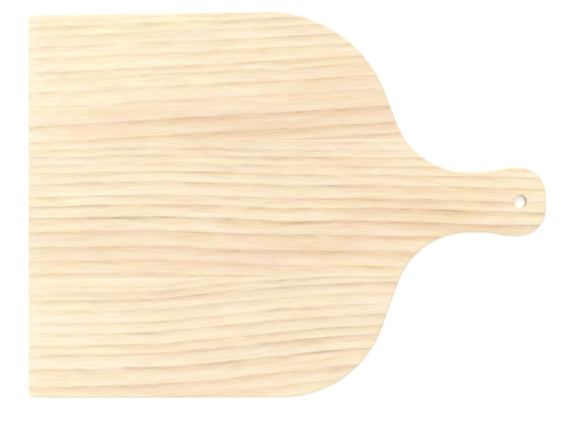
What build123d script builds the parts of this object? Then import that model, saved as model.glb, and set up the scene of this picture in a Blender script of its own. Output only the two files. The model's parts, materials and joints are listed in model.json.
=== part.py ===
from build123d import *
import os

# Pizza peel: a thin pine board with a short handle, glued up from three staves.
#
# Frame: +X runs from the front edge to the handle end, Y runs across the blade, and +Z
# points out of the working face. The origin is the centre of the underside's box.
# Right and left are as seen by someone holding the handle, so right is +Y.
# Sizes are in millimetres.

# Outline, from the front edge back to the handle end
blade_width = 300.0
blade_side_length = 256.4  # the straight side, up to where its line meets the slant's
shoulder_run = 47.0  # the slant from the side to the neck, measured along X
neck_run = 54.4  # the neck, up to where it starts to flare
flare_run = 16.5
grip_end_run = 28.8  # from the end of the flare to the handle end
neck_width = 46.7
grip_end_width = 52.9
front_corner_radius = 3.0
right_shoulder_radius = 97.9
left_shoulder_radius = 82.3  # this shoulder was sawn a little fuller than the right one
neck_radius = 58.1
flare_radius = 41.0
handle_end_radius = 20.6

# Section through the board
thickness = 10.0
front_bevel_length = 12.0  # the working face slopes down to the front over this length
front_lip_thickness = 5.0
bevel_crease_radius = 22.0
edge_radius = 2.0

# Staves and the glue between them
middle_stave_width = 106.0
middle_stave_offset = -3.8  # from the board's middle line to the stave's, along Y
glue_thickness = 0.15

# Hanging hole
hole_diameter = 10.0
hole_from_end = 19.7
hole_rim_radius = 0.6

overall_length = blade_side_length + shoulder_run + neck_run + flare_run + grip_end_run
front_x = -overall_length / 2
shoulder_x = front_x + blade_side_length
neck_x = shoulder_x + shoulder_run
flare_start_x = neck_x + neck_run
flare_end_x = flare_start_x + flare_run
handle_end_x = flare_end_x + grip_end_run

# The corners of the outline's two halves, which differ only in their shoulders' radius
right_corners = [
    (front_x, 0),
    (front_x, blade_width / 2),
    (shoulder_x, blade_width / 2),
    (neck_x, neck_width / 2),
    (flare_start_x, neck_width / 2),
    (flare_end_x, grip_end_width / 2),
    (handle_end_x, grip_end_width / 2),
    (handle_end_x, 0),
]
left_corners = [(x, -y) for x, y in right_corners]
radii_past_shoulder = [neck_radius, flare_radius, flare_radius, handle_end_radius]
right_radii = [front_corner_radius, right_shoulder_radius] + radii_past_shoulder
left_radii = [front_corner_radius, left_shoulder_radius] + radii_past_shoulder

# The whole board, shaped after it is glued up: sawn to its outline, bevelled along the
# front, and rounded on every edge of both faces
with BuildPart() as board:
    with BuildSketch() as outline:
        with BuildLine():
            FilletPolyline(right_corners, radius=right_radii)
            FilletPolyline(left_corners, radius=left_radii)
        make_face()
    extrude(amount=thickness)
    with BuildSketch(Plane.XZ) as bevel_section:
        with BuildLine():
            Polyline(
                (front_x, front_lip_thickness),
                (front_x + front_bevel_length, thickness),
                (front_x, thickness),
                close=True,
            )
        make_face()
    extrude(amount=blade_width, both=True, mode=Mode.SUBTRACT)
    top_cross_edges = board.edges().filter_by(Axis.Y).group_by(Axis.Z)[-1]
    crease = top_cross_edges.sort_by(Axis.X)[0]
    fillet(crease, radius=bevel_crease_radius)
    walls = board.faces().filter_by(lambda face: abs(face.normal_at().Z) < 0.001)
    rim_edges = walls.edges().filter_by(Axis.Z, reverse=True)
    fillet(rim_edges, radius=edge_radius)

# The planes that part the staves from the glue, each facing right
right_joint_y = middle_stave_offset + middle_stave_width / 2
left_joint_y = middle_stave_offset - middle_stave_width / 2
right_glue_near = Plane(origin=(0, right_joint_y, 0), z_dir=(0, 1, 0))
right_glue_far = right_glue_near.offset(glue_thickness)
left_glue_near = Plane(origin=(0, left_joint_y, 0), z_dir=(0, 1, 0))
left_glue_far = left_glue_near.offset(-glue_thickness)

# The middle stave runs on as the handle, with the hanging hole near its end
with BuildPart() as handle_stave:
    add(board)
    split(bisect_by=right_glue_near, keep=Keep.BOTTOM)
    split(bisect_by=left_glue_near, keep=Keep.TOP)
    with Locations((handle_end_x - hole_from_end, 0, thickness)):
        Hole(hole_diameter / 2)
    circles = handle_stave.edges().filter_by(GeomType.CIRCLE)
    hole_rims = circles.filter_by(lambda edge: abs(edge.radius - hole_diameter / 2) < 0.001)
    fillet(hole_rims, radius=hole_rim_radius)

with BuildPart() as side_stave_right:
    add(board)
    split(bisect_by=right_glue_far, keep=Keep.TOP)

with BuildPart() as side_stave_left:
    add(board)
    split(bisect_by=left_glue_far, keep=Keep.BOTTOM)

# The glue films fill the two joints, sanded flush with the board
with BuildPart() as glue_line_right:
    add(board)
    split(bisect_by=right_glue_near, keep=Keep.TOP)
    split(bisect_by=right_glue_far, keep=Keep.BOTTOM)

with BuildPart() as glue_line_left:
    add(board)
    split(bisect_by=left_glue_near, keep=Keep.BOTTOM)
    split(bisect_by=left_glue_far, keep=Keep.TOP)

handle_stave.part.label = "handle_stave"
side_stave_right.part.label = "side_stave_right"
side_stave_left.part.label = "side_stave_left"
glue_line_right.part.label = "glue_line_right"
glue_line_left.part.label = "glue_line_left"

os.makedirs("parts", exist_ok=True)
export_step(handle_stave.part, "parts/handle_stave.step")
export_step(side_stave_right.part, "parts/side_stave_right.step")
export_step(side_stave_left.part, "parts/side_stave_left.step")
export_step(glue_line_right.part, "parts/glue_line_right.step")
export_step(glue_line_left.part, "parts/glue_line_left.step")
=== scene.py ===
import json
import math

import bpy
from mathutils import Matrix, Vector


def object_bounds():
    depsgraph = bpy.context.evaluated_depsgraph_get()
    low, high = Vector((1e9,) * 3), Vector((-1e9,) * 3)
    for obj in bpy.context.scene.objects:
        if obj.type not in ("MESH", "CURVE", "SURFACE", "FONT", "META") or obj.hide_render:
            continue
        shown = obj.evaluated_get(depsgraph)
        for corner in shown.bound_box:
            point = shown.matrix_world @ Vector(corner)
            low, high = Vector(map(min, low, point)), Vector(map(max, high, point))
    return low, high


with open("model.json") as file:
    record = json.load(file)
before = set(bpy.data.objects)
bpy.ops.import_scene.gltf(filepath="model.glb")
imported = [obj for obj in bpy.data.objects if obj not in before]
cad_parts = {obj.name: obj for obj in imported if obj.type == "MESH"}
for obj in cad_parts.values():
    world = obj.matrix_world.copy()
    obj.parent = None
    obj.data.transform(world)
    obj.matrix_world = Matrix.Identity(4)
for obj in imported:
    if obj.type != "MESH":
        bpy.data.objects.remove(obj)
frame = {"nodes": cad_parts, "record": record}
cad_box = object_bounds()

# A pine pizza peel lying face up on a white table, seen from straight above. Positions are
# in metres in the CAD frame: +X from the front edge to the handle end, +Z up, and +Y to the
# right of someone holding the handle. The wood is laid out in millimetres in the same frame.

MM = 1000  # millimetres in a metre
TOP = cad_box[1][2]
HOLE = next(mount for mount in frame["record"]["mounts"] if mount["name"] == "hanging_hole")

# Each stave's grain. "span" is the Y of its two sides. "rings" gives where each year's dark
# latewood line meets the front edge, from the board's middle line, and how dark that line is.
# "drift_low" and "drift_high" say how far the lines have moved towards +Y at each "drift_x",
# at the stave's low and high side. "lean" is how far a ring moves towards +Y for each
# millimetre down into the board. "contrast" is how strong the rings are at each X, because
# they fade towards the front. The flushes are darker patches, or paler ones where negative:
# centre, reach and strength. On the handle stave three of them are painted light, not stain:
# painted shade along the handle's lower edge and a painted highlight along its upper edge.
# "golds" are yellower patches, or less yellow ones. "tint" is how much the hue wanders
# towards pink and towards yellow, and "ashen" is how grey dark wood is.
STAVES = {
    "side_stave_right": {
        "span": (48.0, 150.0),
        "rings": (
            (39.0, 1.15), (48.1, 0.98), (61.3, 1.08), (76.4, 0.72), (88.0, 0.88), (97.9, 0.8),
            (104.2, 0.94), (115.3, 0.75), (123.9, 0.78), (132.5, 0.84), (139.6, 1.2), (145.1, 0.6),
        ),
        "drift_x": (-200, -150, -100, -50, 0, 50, 100),
        "drift_low": (0, 2.0, 5.2, 8.3, 10.5, 13.0, 15.5),
        "drift_high": (0, 0, 1.5, 2.6, 4.0, 6.5, 9.0),
        "lean": 0.05,
        "contrast": ((-200, 0.98), (-165, 0.94), (-140, 0.87), (-60, 1.0), (0, 1.24), (60, 1.14)),
        "flushes": (
            (10, 62, 95, 14, 1.35), (60, 88, 75, 24, 1.0), (-110, 70, 60, 11, 0.95),
            (-60, 54, 90, 7, 0.85), (-190, 115, 70, 55, -0.5), (-80, 146, 110, 9, -0.6),
            (28, 78, 26, 10, 0.4), (-70, 93, 30, 8, 0.3), (-40, 120, 30, 9, 0.3),
        ),
        "golds": ((30, 86, 40, 16, 0.8), (-55, 110, 80, 9, 0.7), (-110, 92, 50, 10, 0.5)),
        "tint": (1.6, 1.05),
        "ashen": 0.0,
        "seed": 3.0,
    },
    "handle_stave": {
        "span": (-57.0, 49.5),
        "rings": (
            (-64.0, 0.5), (-54.2, 1.0), (-44.7, 0.86), (-33.7, 1.13), (-21.6, 1.26), (-11.1, 1.6),
            (-1.5, 1.46), (5.9, 0.97), (15.8, 1.2), (24.0, 1.08), (30.3, 0.82), (36.5, 1.12),
            (42.1, 0.9), (48.5, 0.85),
        ),
        "drift_x": (-200, -150, -100, -50, 0, 50, 100, 150, 200),
        "drift_low": (0, 0.9, 0.3, -1.6, -3.8, -4.4, -5.8, -8.5, -9.5),
        "drift_high": (0, 1.2, 2.0, 0.8, -1.2, -1.6, -2.0, -3.5, -5.0),
        "lean": -0.04,
        "contrast": ((-200, 0.94), (-80, 1.0), (40, 0.98), (200, 1.04)),
        "flushes": (
            (-65, -40, 110, 16, 1.0), (30, -36, 90, 20, 0.75), (120, -6, 75, 22, 0.85),
            (0, 20, 90, 40, 0.3), (-150, -22, 45, 10, 0.6), (200, 0, 40, 40, -0.4),
            (-190, 35, 60, 30, -0.35), (-45, 45, 80, 7, 0.45), (-130, 2, 28, 8, -0.4),
            # the last two rows on the next line are painted shade along the handle's lower edge,
            # and the line after is a painted highlight along its upper edge
            (80, -42, 24, 8, 0.4), (155, -22.5, 60, 5, 0.8), (172, -27, 18, 2.5, 0.35),
            (150, 24, 50, 4, -0.45),
        ),
        "golds": ((130, 5, 62, 32, 1.25), (-90, -12, 80, 14, 0.6), (-5, 6, 40, 9, 0.4)),
        "tint": (1.25, 1.2),
        "ashen": 0.0,
        "seed": 11.0,
    },
    "side_stave_left": {
        "span": (-150.0, -57.0),
        "rings": (
            (-152.0, 0.65), (-141.6, 1.22), (-128.5, 1.45), (-117.3, 1.32), (-110.2, 1.1),
            (-100.8, 1.08), (-92.5, 0.8), (-83.1, 0.82), (-74.9, 1.08), (-69.1, 0.98), (-63.5, 0.5),
        ),
        "drift_x": (-200, -150, -100, -50, 0, 50, 100),
        "drift_low": (0, 0.2, 1.6, 5.2, 11.2, 17.5, 22.0),
        "drift_high": (0, 0, 1.0, 6.0, 10.2, 12.5, 13.5),
        "lean": 0.06,
        "contrast": ((-200, 0.78), (-165, 0.97), (-120, 1.1), (-60, 0.94), (0, 1.2), (60, 0.98)),
        "flushes": (
            (-180, -100, 80, 40, -0.65), (-40, -124, 60, 12, 0.35), (-20, -104, 220, 70, 0.2),
            (-90, -147, 90, 9, 0.5), (-45, -69, 60, 8, 0.45), (42, -126, 24, 20, 0.5),
            (-90, -104, 24, 8, -0.35),
        ),
        "golds": ((50, -104, 24, 20, 0.6), (-128, -124, 24, 8, 0.7), (-95, -106, 30, 10, -0.5)),
        "tint": (0.85, 1.0),
        "ashen": 1.0,
        "seed": 23.0,
    },
}

# Noise laid along the grain, and noise laid on the board as it stands. Each layer gives the
# length of its features along X, across and down, a number added to the stave's seed, and the
# noise's detail and roughness.
GRAIN_LAYERS = {
    "wave": ((70, 26, 90), 0, 1, 0.5),
    "ripple": ((17, 6, 30), 5, 3, 0.6),
    "line_strength": ((24, 5, 20), 9, 3, 0.65),
    "band_strength": ((34, 4, 20), 10, 3, 0.6),
    "band_stretch": ((40, 6, 20), 11, 3, 0.65),
    "fibre": ((36, 1.9, 12), 13, 3, 0.7),
    "thread": ((13, 0.9, 8), 15, 2, 0.6),
    "broad": ((60, 6, 12), 17, 2, 0.5),
    "dash": ((16, 1.0, 8), 19, 1, 0.5),
    "canal": ((9, 0.3, 0.3), 21, 1, 0.5),
    "pink": ((22, 3.2, 12), 25, 2, 0.5),
    "pink_wide": ((75, 11, 20), 27, 1, 0.5),
    "yellow": ((26, 4.2, 12), 29, 2, 0.5),
    "yellow_wide": ((60, 9, 20), 30, 1, 0.5),
    "hair": ((7, 0.25, 2.0), 37, 2, 0.6),
}
BOARD_LAYERS = {
    "pores": ((1.2, 0.35, 0.35), 31, 2, 0.6),
    "rays": ((3, 0.5, 9), 33, 1, 0.5),
    "uneven_highlight": ((14, 7, 4), 35, 3, 0.6),
}

# A year's growth ends at a dark line, sharp towards +Y. A tan band of summer wood leads up to
# it. Each row is a distance from the line and how much of the mark is left there.
LINE_FADE = ((0, 1), (0.4, 0.9), (0.9, 0.5), (1.6, 0.2), (2.6, 0))
BAND_FADE = ((0, 1), (1.2, 0.93), (2.3, 0.72), (3.7, 0.42), (5.2, 0.18), (7.5, 0))
FAR_SIDE_FADE = ((0, 1), (0.35, 0.72), (0.8, 0.3), (1.5, 0))
OUTER_YEAR_WIDTH = 10.0  # of the year below a stave's first line, and of the one past its last
OUTER_YEAR_DARKNESS = 0.5
MOST_DARK = 2.0  # no line is darker than this
MOST_WIDE = 20.0  # and no year is wider
WAVES = {"wave": 0.5, "ripple": 0.3}  # how far each noise moves the lines
END_GRAIN_CRISPNESS = 0.8  # how much stronger the lines are on end grain

# What wanders with noise: its middle, how far the noise swings it, and the least it gets to
LINE_STRENGTH = (0.24, 0.34, 0.0)
BAND_STRENGTH = (0.44, 0.3, 0.06)
BAND_STRETCH = (1.0, 0.45, 0.4)
HIGHLIGHT_ON_FLUSHES = (1.0, -0.35, 0.0)  # how much of the painted highlight is kept, swung by the flushes, painted edge shade included, which it pales less

# Short marks along the grain: how high the noise is where one starts, and how fast it grows
DARK_DASHES = (0.75, 1.2)
PALE_DASHES = (0.75, 1.0)
RESIN_CANALS = (0.7, 2.5)

# What each field adds to the wood's tone, which runs from pale to dark, and to its roughness
# and its relief
TONE_WEIGHTS = {
    "fibre": 0.3, "thread": 0.2, "broad": 0.12, "hair": 0.2,
    "dark_dashes": 1.0, "pale_dashes": -1.0, "canals": 0.35,
}
ROUGHNESS_WEIGHTS = {"tone": -0.1, "thread": 0.05, "end": 0.12, "highlight": -0.15}
RELIEF_WEIGHTS = {"tone": 0.5, "fibre": 0.12, "hair": 0.12, "canals": -0.5, "open_pores": -0.5}
MIDDLE_ROUGHNESS = 0.6
WOOD_RELIEF = 0.00006  # metres for each unit of relief

TONE_RANGE = (-0.4, 1.5)
TONES = (
    (0.0, (255, 245, 220)),
    (0.2, (252, 236, 206)),
    (0.42, (245, 224, 190)),
    (0.65, (233, 209, 174)),
    (0.85, (218, 193, 159)),
    (1.0, (201, 176, 144)),
)

# How far red, green and blue change for each unit of a tint
PINK = (0.005, -0.023, -0.016)
YELLOW = (0.0, 0.0, -0.045)
GOLD = (0.0, 0.0, -0.03)
ASH = (0.0, 0.012, 0.024)
# for the flushes, and for the painted shade and painted highlight along the handle's edges
FLUSH_AND_EDGE_SHADING = (-0.045, -0.115, -0.145)
PINK_WIDE_SHARE = 1.0
YELLOW_WIDE_SHARE = 1.2
FLUSH_AND_EDGE_SHADING_UNEVENNESS = 0.25
HALVINGS_AT_REACH = 1.6  # how many times a patch's strength has halved at its reach

# End grain is a face that faces along X. It is darker, and full of pores.
END_GRAIN_FACING = (0.35, 0.95)
END_GRAIN = (226, 206, 180)
GRIT_WEIGHTS = {"rays": 0.25, "pores": 0.5}
END_GRAIN_SHARE = 0.4
END_GRAIN_GRIT = 0.45

# The rounded edges, the side walls and the front bevel are painted paler, a painted highlight that
# lifts their shade: how much by how far a face points up or down, and on the bevel how many times
# as much by the distance from the board's middle line
EDGE_HIGHLIGHT = ((0, 0.1), (0.25, 0.5), (0.8, 0.5), (0.9, 0.3), (0.94, 0.12), (1, 0))
BEVEL_HIGHLIGHT = ((0, 1.05), (50, 1.15), (75, 1.7), (150, 1.85))
BEVEL_FACING = (0.8, 0.9)
HIGHLIGHT_WEIGHTS = {"uneven_highlight": 1.0, "hair": 0.7}
HIGHLIGHT_UNEVENNESS = 0.45
HIGHLIGHT_COLOUR = (255, 247, 228)

# The hanging hole's wall is painted paler too, from its rim in: painted light that lifts the shade
# inside the hole
HOLE_LIGHT_RANGE = (0.5, 0.2)  # millimetres outside the hole, where it starts and where it is full
HOLE_LIGHT_SHARE = 0.5
HOLE_LIGHT_COLOUR = (250, 242, 230)

GLUE_SEED = 41.0
GLUE_DUST = ((9, 2, 2), 0, 3, 0.65)
GLUE_TONES = ((0.0, (240, 220, 186)), (0.5, (228, 202, 164)), (1.0, (206, 176, 136)))
GLUE_RELIEF = 0.00003


def srgb(red, green, blue):
    """The linear colour of an 8-bit one."""
    values = [channel / 255 for channel in (red, green, blue)]
    return [v / 12.92 if v <= 0.04045 else ((v + 0.055) / 1.055) ** 2.4 for v in values] + [1.0]


class Graph:
    """Adds nodes to one material. Each method that makes a node returns its result."""

    def __init__(self, name):
        self.material = bpy.data.materials.new(name)
        self.material.use_nodes = True
        self.tree = self.material.node_tree
        self.shader = self.tree.nodes["Principled BSDF"]

    def feed(self, socket, value):
        if isinstance(value, bpy.types.NodeSocket):
            self.tree.links.new(value, socket)
        else:
            socket.default_value = value

    def set(self, name, value):
        self.feed(self.shader.inputs[name], value)

    def math(self, operation, *values, clamp=False):
        node = self.tree.nodes.new("ShaderNodeMath")
        node.operation = operation
        node.use_clamp = clamp
        for socket, value in zip(node.inputs, values):
            self.feed(socket, value)
        return node.outputs[0]

    def product(self, first, *others):
        for other in others:
            first = self.math("MULTIPLY", first, other)
        return first

    def total(self, start, *terms):
        """The sum of start and each term = (value, weight)."""
        for value, weight in terms:
            start = self.math("MULTIPLY_ADD", value, weight, start)
        return start

    def weigh(self, start, fields, weights):
        """The sum of start and each named field times its weight."""
        return self.total(start, *[(fields[name], weight) for name, weight in weights.items()])

    def wander(self, value, middle, swing, least):
        """Middle plus swing times the value, and never under least."""
        return self.math("MAXIMUM", self.total(middle, (value, swing)), least)

    def above(self, value, threshold, gain):
        """Gain times how far the value is above the threshold, between 0 and 1."""
        return self.math("MULTIPLY", self.math("SUBTRACT", value, threshold), gain, clamp=True)

    def position(self):
        """X, Y and Z in millimetres in the CAD frame."""
        place = self.tree.nodes.new("ShaderNodeTexCoord").outputs["Object"]
        parts = self.tree.nodes.new("ShaderNodeSeparateXYZ")
        self.feed(parts.inputs[0], place)
        return [self.math("MULTIPLY", part, MM) for part in parts.outputs]

    def facing(self):
        """How far the surface faces along X, along Y and along Z, each from 0 to 1."""
        normal = self.tree.nodes.new("ShaderNodeTexCoord").outputs["Normal"]
        parts = self.tree.nodes.new("ShaderNodeSeparateXYZ")
        self.feed(parts.inputs[0], normal)
        return [self.math("ABSOLUTE", part) for part in parts.outputs]

    def vector(self, x, y, z):
        node = self.tree.nodes.new("ShaderNodeCombineXYZ")
        for socket, value in zip(node.inputs, (x, y, z)):
            self.feed(socket, value)
        return node.outputs[0]

    def noise(self, place, seed, layer):
        """Noise about 0, mostly within 1, whose features are as long as the layer says."""
        lengths, offset, detail, roughness = layer
        first = 1.7  # X moves by this many seeds, Y by one seed more and Z by two
        scaled = [
            self.math("MULTIPLY_ADD", value, 1 / length, (seed + offset) * (axis + first))
            for axis, (value, length) in enumerate(zip(place, lengths))
        ]
        node = self.tree.nodes.new("ShaderNodeTexNoise")
        self.feed(node.inputs["Vector"], self.vector(*scaled))
        node.inputs["Scale"].default_value = 1.0
        node.inputs["Detail"].default_value = detail
        node.inputs["Roughness"].default_value = roughness
        # the node's own noise is about 0.5, and mostly within 0.25 of it
        return self.math("MULTIPLY_ADD", node.outputs[0], 4.0, -2.0)

    def noises(self, place, seed, layers):
        return {name: self.noise(place, seed, layer) for name, layer in layers.items()}

    def curve(self, value, points):
        """A line through points = (input, result), straight between them and level outside."""
        xs, ys = zip(*points)
        low_x, high_x, low_y, high_y = min(xs), max(xs), min(ys), max(ys)
        node = self.tree.nodes.new("ShaderNodeFloatCurve")
        handles = node.mapping.curves[0].points
        while len(handles) < len(points):
            handles.new(0.5, 0.5)
        for handle, x, y in zip(handles, xs, ys):
            handle.location = ((x - low_x) / (high_x - low_x), (y - low_y) / (high_y - low_y))
            handle.handle_type = "VECTOR"
        node.mapping.update()
        self.feed(node.inputs["Value"], self.remap(value, low_x, high_x, 0, 1))
        return self.math("MULTIPLY_ADD", node.outputs[0], high_y - low_y, low_y)

    def remap(self, value, low, high, new_low, new_high):
        node = self.tree.nodes.new("ShaderNodeMapRange")
        limits = {"From Min": low, "From Max": high, "To Min": new_low, "To Max": new_high}
        self.feed(node.inputs["Value"], value)
        for name, limit in limits.items():
            node.inputs[name].default_value = limit
        return node.outputs[0]

    def ramp(self, value, stops, interpolation):
        """The linear colour at the value among stops = (place, colour)."""
        node = self.tree.nodes.new("ShaderNodeValToRGB")
        elements = node.color_ramp.elements
        node.color_ramp.interpolation = interpolation
        while len(elements) < len(stops):
            elements.new(1.0)
        for element, (place, colour) in zip(elements, stops):
            element.position = place
            element.color = colour
        self.feed(node.inputs[0], value)
        return node.outputs[0]

    def tones(self, value, stops):
        """The colour between stops = (place, 8-bit colour)."""
        return self.ramp(value, [(place, srgb(*colour)) for place, colour in stops], "LINEAR")

    def mix(self, share, first, second, blend="MIX"):
        node = self.tree.nodes.new("ShaderNodeMix")
        node.data_type = "RGBA"
        node.blend_type = blend
        self.feed(node.inputs[0], share)
        self.feed(node.inputs[6], first)  # 6, 7 and 2 are the node's sockets for colours
        self.feed(node.inputs[7], second)
        return node.outputs[2]

    def between(self, share, first, second):
        """A number between first and second."""
        node = self.tree.nodes.new("ShaderNodeMix")
        self.feed(node.inputs[0], share)
        self.feed(node.inputs[2], first)
        self.feed(node.inputs[3], second)
        return node.outputs[0]

    def tinted(self, colour, *tints):
        """The colour with red, green and blue changed by each tint = (amount, strength, shifts)."""
        channels = []
        for channel in range(3):
            terms = [(amount, shifts[channel] * strength) for amount, strength, shifts in tints]
            channels.append(self.total(1.0, *[term for term in terms if term[1]]))
        return self.mix(1.0, colour, self.vector(*channels), "MULTIPLY")

    def split(self, colour):
        node = self.tree.nodes.new("ShaderNodeSeparateColor")
        self.feed(node.inputs[0], colour)
        return node.outputs[:]

    def bump(self, height, distance):
        """Raises the surface by height times distance, in metres."""
        node = self.tree.nodes.new("ShaderNodeBump")
        node.inputs["Distance"].default_value = distance
        self.feed(node.inputs["Height"], height)
        self.set("Normal", node.outputs[0])


def along_the_grain(graph, place, stave):
    """X, the distance across the grain and Z. All of one ring is at one distance across."""
    x, y, z = place
    drift = graph.between(
        graph.remap(y, *stave["span"], 0, 1),
        graph.curve(x, list(zip(stave["drift_x"], stave["drift_low"]))),
        graph.curve(x, list(zip(stave["drift_x"], stave["drift_high"]))),
    )
    depth = graph.math("SUBTRACT", TOP * MM, z)
    across = graph.total(graph.math("SUBTRACT", y, drift), (depth, stave["lean"]))
    return x, across, z


def year_ends(stave):
    """Where across the grain each year ends, and how dark its line is, with one more each side."""
    inner = list(stave["rings"])
    first = (inner[0][0] - OUTER_YEAR_WIDTH, OUTER_YEAR_DARKNESS)
    last = (inner[-1][0] + OUTER_YEAR_WIDTH, OUTER_YEAR_DARKNESS)
    return [first] + inner + [last]


def year_facts(graph, year, ends):
    """The darkness of the line above, the year's width and the darkness of the line below."""
    # the facts are the colours of a stepped ramp, which stay between 0 and 1
    years = len(ends) - 1
    stops = []
    for index, (below, above) in enumerate(zip(ends, ends[1:])):
        width = (above[0] - below[0]) / MOST_WIDE
        facts = (above[1] / MOST_DARK, width, below[1] / MOST_DARK, 1)
        stops.append((index / years, facts))
    # the first year is number -1, and the middle of its step is half a step up the ramp
    middle_of_step = graph.math("MULTIPLY_ADD", year, 1 / years, 1.5 / years)
    above, width, below = graph.split(graph.ramp(middle_of_step, stops, "CONSTANT"))
    return (
        graph.product(above, MOST_DARK),
        graph.product(width, MOST_WIDE),
        graph.product(below, MOST_DARK),
    )


def rings(graph, place, across, noise, stave):
    """How dark the latewood lines are, and how dark the tan bands are."""
    ends = year_ends(stave)
    numbered = [(end[0], index - 1) for index, end in enumerate(ends)]
    number = graph.curve(graph.weigh(across, noise, WAVES), numbered)
    phase = graph.math("FRACT", number)
    above, width, below = year_facts(graph, graph.math("FLOOR", number), ends)
    to_line = graph.product(graph.math("SUBTRACT", 1.0, phase), width)
    past_line = graph.product(phase, width)

    stretched = graph.product(to_line, graph.wander(noise["band_stretch"], *BAND_STRETCH))
    far_side = graph.product(graph.curve(past_line, FAR_SIDE_FADE), below)
    line = graph.total(far_side, (graph.curve(to_line, LINE_FADE), above))
    band = graph.total(far_side, (graph.curve(stretched, BAND_FADE), above))

    contrast = graph.curve(place[0], stave["contrast"])
    line_strength = graph.wander(noise["line_strength"], *LINE_STRENGTH)
    band_strength = graph.wander(noise["band_strength"], *BAND_STRENGTH)
    line = graph.product(line, line_strength, contrast)
    band = graph.product(band, band_strength, contrast)
    return line, band


def patches(graph, place, rows):
    """The sum of soft oval patches, each row its centre, its reach and its strength."""
    patch = 0.0
    for centre_x, centre_y, reach_x, reach_y, strength in rows:
        away_x = graph.math("MULTIPLY_ADD", place[0], 1 / reach_x, -centre_x / reach_x)
        away_y = graph.math("MULTIPLY_ADD", place[1], 1 / reach_y, -centre_y / reach_y)
        away = graph.total(graph.product(away_y, away_y), (away_x, away_x))
        fade = graph.math("POWER", 0.5, graph.product(away, HALVINGS_AT_REACH))
        patch = graph.total(patch, (fade, strength))
    return patch


def from_hole(graph, place):
    """How many millimetres outside the hanging hole a point is."""
    centre_x, centre_y, _ = HOLE["pos_m"]
    away_x = graph.math("SUBTRACT", place[0], centre_x * MM)
    away_y = graph.math("SUBTRACT", place[1], centre_y * MM)
    square = graph.total(graph.product(away_y, away_y), (away_x, away_x))
    return graph.math("SUBTRACT", graph.math("SQRT", square), HOLE["dims"]["r_mm"])


def highlight_share(graph, place, fields):
    """How much a face is painted paler, a painted highlight on its rounded edges, walls and front
    bevel.
    """
    uneven = graph.total(1.0, (graph.weigh(0.0, fields, HIGHLIGHT_WEIGHTS), HIGHLIGHT_UNEVENNESS))
    edge = graph.curve(fields["up"], EDGE_HIGHLIGHT)
    highlight_kept = graph.wander(fields["flush"], *HIGHLIGHT_ON_FLUSHES)
    bevel = graph.curve(graph.math("ABSOLUTE", place[1]), BEVEL_HIGHLIGHT)
    on_bevel = graph.remap(fields["up"], *BEVEL_FACING, 0, 1)
    return graph.product(uneven, edge, highlight_kept, graph.between(on_bevel, 1.0, bevel))


def wood_fields(graph, place, stave):
    """Every field that the wood's colour, roughness and relief are made of, by name."""
    grain = along_the_grain(graph, place, stave)
    fields = graph.noises(grain, stave["seed"], GRAIN_LAYERS)
    fields.update(graph.noises(place, stave["seed"], BOARD_LAYERS))
    along_x, _, fields["up"] = graph.facing()
    fields["end"] = graph.remap(along_x, *END_GRAIN_FACING, 0, 1)
    fields["open_pores"] = graph.product(fields["pores"], fields["end"])

    fields["dark_dashes"] = graph.above(fields["dash"], *DARK_DASHES)
    fields["pale_dashes"] = graph.above(graph.product(fields["dash"], -1.0), *PALE_DASHES)
    fields["canals"] = graph.above(fields["canal"], *RESIN_CANALS)
    line, band = rings(graph, place, grain[1], fields, stave)
    crisper = graph.total(1.0, (fields["end"], END_GRAIN_CRISPNESS))
    marks = graph.total(band, (line, crisper))
    fields["tone"] = graph.weigh(marks, fields, TONE_WEIGHTS)

    fields["pinkness"] = graph.total(fields["pink"], (fields["pink_wide"], PINK_WIDE_SHARE))
    fields["yellowness"] = graph.total(fields["yellow"], (fields["yellow_wide"], YELLOW_WIDE_SHARE))
    fields["gold"] = patches(graph, place, stave["golds"])
    uneven = graph.total(1.0, (fields["broad"], FLUSH_AND_EDGE_SHADING_UNEVENNESS))
    fields["flush"] = graph.product(patches(graph, place, stave["flushes"]), uneven)
    fields["highlight"] = highlight_share(graph, place, fields)
    return fields


def cut_end(graph, wood, fields):
    """The wood with its end grain darkened."""
    grit = graph.weigh(0.0, fields, GRIT_WEIGHTS)
    uneven = graph.total(END_GRAIN_SHARE, (grit, END_GRAIN_GRIT))
    darkened = graph.mix(1.0, wood, srgb(*END_GRAIN), "MULTIPLY")
    return graph.mix(graph.product(fields["end"], uneven), wood, darkened)


def pine(name, stave):
    """Sanded pine with this stave's rings, fibres and resin canals."""
    graph = Graph(name)
    place = graph.position()
    fields = wood_fields(graph, place, stave)
    pink_strength, yellow_strength = stave["tint"]

    wood = graph.tones(graph.remap(fields["tone"], *TONE_RANGE, 0, 1), TONES)
    wood = graph.tinted(
        wood,
        (fields["pinkness"], pink_strength, PINK),
        (fields["yellowness"], yellow_strength, YELLOW),
        (fields["gold"], 1.0, GOLD),
    )
    wood = graph.tinted(wood, (fields["tone"], stave["ashen"], ASH))
    # the flushes, with the painted shade and the painted highlight along the handle's edges
    wood = graph.tinted(wood, (fields["flush"], 1.0, FLUSH_AND_EDGE_SHADING))
    wood = cut_end(graph, wood, fields)
    # painted highlight on the rounded edges, the walls and the front bevel
    wood = graph.mix(fields["highlight"], wood, srgb(*HIGHLIGHT_COLOUR))
    # painted light on the hanging hole's wall, which lifts the shade inside the hole
    hole_light = graph.remap(from_hole(graph, place), *HOLE_LIGHT_RANGE, 0, HOLE_LIGHT_SHARE)
    wood = graph.mix(hole_light, wood, srgb(*HOLE_LIGHT_COLOUR))

    graph.set("Base Color", wood)
    graph.set("Roughness", graph.weigh(MIDDLE_ROUGHNESS, fields, ROUGHNESS_WEIGHTS))
    graph.bump(graph.weigh(0.0, fields, RELIEF_WEIGHTS), WOOD_RELIEF)
    return graph.material


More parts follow.
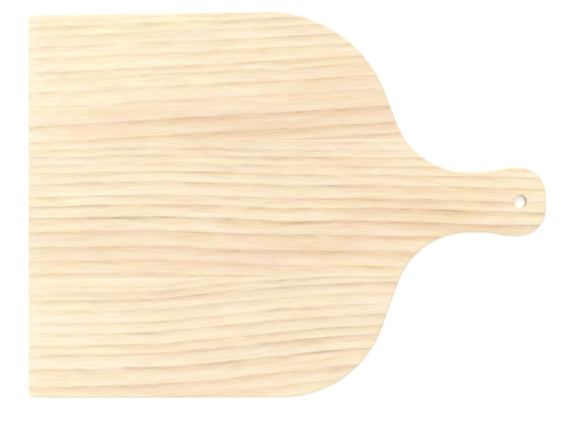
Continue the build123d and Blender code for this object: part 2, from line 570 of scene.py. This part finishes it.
def glue():
    """Dried wood glue, sanded flush, with wood dust in it."""
    graph = Graph("wood_glue")
    middle_tone, tone_swing = 0.5, 0.3
    middle_roughness, roughness_swing = 0.42, 0.08
    dust = graph.noise(graph.position(), GLUE_SEED, GLUE_DUST)
    tone = graph.total(middle_tone, (dust, tone_swing))
    graph.set("Base Color", graph.tones(tone, GLUE_TONES))
    graph.set("Roughness", graph.total(middle_roughness, (dust, roughness_swing)))
    graph.bump(dust, GLUE_RELIEF)
    return graph.material


def dress(node, material):
    piece = frame["nodes"][node]
    piece.data.materials.clear()
    piece.data.materials.append(material)


def make_camera():
    """Above the board, a little off the upright, as the photographer held it."""
    place = Vector((0.0334, -0.0324, TOP + 0.900))
    aim = Vector((-0.0009, -0.0060, TOP))
    roll = math.radians(-0.39)
    forward = (aim - place).normalized()
    right = forward.cross(Vector((0, 1, 0))).normalized()
    up = right.cross(forward)
    turn = Matrix((right, up, -forward)).transposed() @ Matrix.Rotation(roll, 3, "Z")
    data = bpy.data.cameras.new("camera")
    data.sensor_width = 36
    data.lens = 74
    camera = bpy.data.objects.new("camera", data)
    camera.matrix_world = Matrix.Translation(place) @ turn.to_4x4()
    bpy.context.scene.collection.objects.link(camera)
    bpy.context.scene.camera = camera


def seen_rays(tree):
    """1 for what the camera sees, straight or in a reflection, and 0 for light on its way."""
    rays = tree.nodes.new("ShaderNodeLightPath")
    seen = rays.outputs["Is Camera Ray"]
    for kind in ("Is Glossy Ray", "Is Transmission Ray"):
        node = tree.nodes.new("ShaderNodeMath")
        node.operation = "MAXIMUM"
        tree.links.new(seen, node.inputs[0])
        tree.links.new(rays.outputs[kind], node.inputs[1])
        seen = node.outputs[0]
    return seen


def make_floor():
    """A white table, with a glow that makes it plain white to the camera outside the shadow."""
    reach = 3.0
    height = -0.0002  # just clear of the board's underside
    glow = 0.36
    corners = [(x * reach, y * reach, height) for x, y in ((-1, -1), (1, -1), (1, 1), (-1, 1))]
    mesh = bpy.data.meshes.new("floor")
    mesh.from_pydata(corners, [], [(0, 1, 2, 3)])
    floor = bpy.data.objects.new("floor", mesh)
    bpy.context.scene.collection.objects.link(floor)
    graph = Graph("floor")
    graph.set("Base Color", (0.9, 0.9, 0.9, 1))
    graph.set("Roughness", 0.9)
    graph.set("Specular IOR Level", 0.0)
    graph.set("Emission Color", (1, 1, 1, 1))
    graph.set("Emission Strength", graph.product(seen_rays(graph.tree), glow))
    mesh.materials.append(graph.material)


def make_key_light():
    """A large soft light above the board, from its right and a little from its front."""
    data = bpy.data.lights.new("key", "SUN")
    data.angle = math.radians(38)
    data.energy = 1.1
    key = bpy.data.objects.new("key", data)
    key.location = (-0.35, 0.85, 2.4)
    key.rotation_euler = (-Vector(key.location)).to_track_quat("-Z", "Y").to_euler()
    bpy.context.scene.collection.objects.link(key)


def make_studio():
    """Even white light from all round, which the camera sees as plain white."""
    light_level = 0.68
    world = bpy.data.worlds.new("studio")
    world.use_nodes = True
    tree = world.node_tree
    background = tree.nodes["Background"]
    background.inputs["Color"].default_value = (1, 1, 1, 1)
    level = tree.nodes.new("ShaderNodeMath")
    level.operation = "MAXIMUM"
    level.inputs[1].default_value = light_level
    tree.links.new(seen_rays(tree), level.inputs[0])
    tree.links.new(level.outputs[0], background.inputs["Strength"])
    bpy.context.scene.world = world


for node, stave in STAVES.items():
    dress(node, pine("pine_" + node, stave))
glue_material = glue()
for node in ("glue_line_right", "glue_line_left"):
    dress(node, glue_material)
make_camera()
make_floor()
make_key_light()
make_studio()
bpy.context.scene.view_settings.view_transform = "Standard"
